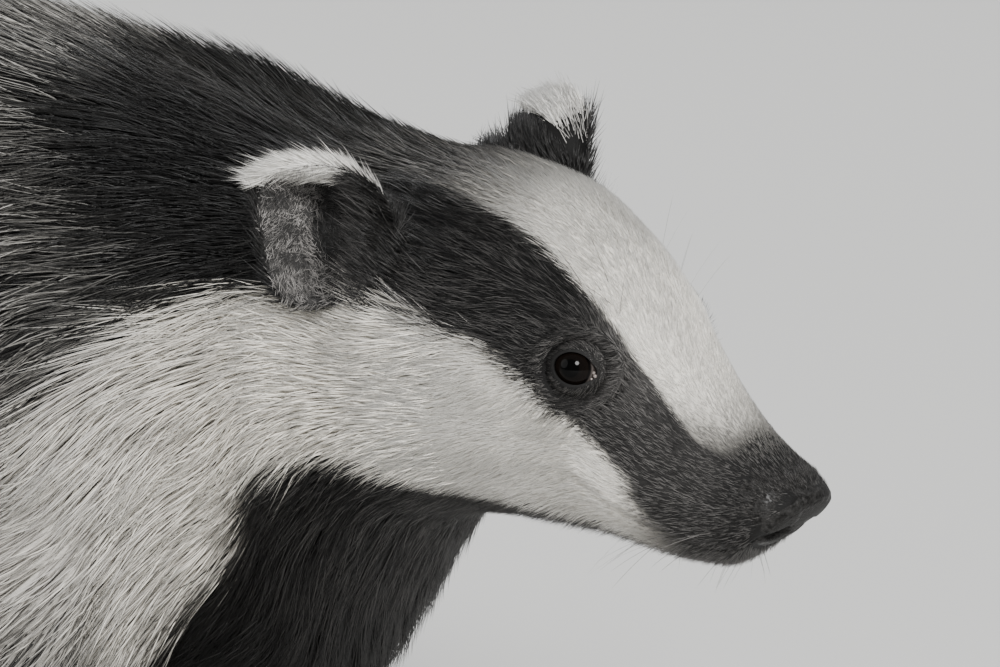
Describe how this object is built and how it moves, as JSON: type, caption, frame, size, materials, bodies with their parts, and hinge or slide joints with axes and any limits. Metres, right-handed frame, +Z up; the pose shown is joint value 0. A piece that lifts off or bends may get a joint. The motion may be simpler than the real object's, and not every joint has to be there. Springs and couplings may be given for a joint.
{
  "type": "european badger",
  "caption": "Still life-size badger on four feet, black and white striped head lowered, shaggy grizzled coat, short bushy tail.",
  "frame": {"origin": "middle of the bounding box, on the floor under the soles", "axes": "+X forward from tail to nose, +Y the animal's left, +Z up"},
  "size_m": [0.8136, 0.241, 0.3017],
  "materials": {
    "pale_fur": "short dense pale hair",
    "grizzled_fur": "long coarse hair with pale bases, dark bands and pale tips",
    "dark_fur": "black hair",
    "nose_skin": "moist bare skin",
    "eye": "wet dark brown eye"
  },
  "bodies": {
    "root": {"head": "pale_fur", "jaw": "pale_fur", "nose": "nose_skin", "ear_left": "dark_fur", "ear_right": "dark_fur", "eye_left": "eye", "eye_right": "eye", "neck": "grizzled_fur", "torso": "grizzled_fur", "tail": "pale_fur", "foreleg_left": "dark_fur", "forepaw_left": "dark_fur", "hindleg_left": "dark_fur", "hindpaw_left": "dark_fur", "foreleg_right": "dark_fur", "forepaw_right": "dark_fur", "hindleg_right": "dark_fur", "hindpaw_right": "dark_fur"}
  },
  "joints": []
}
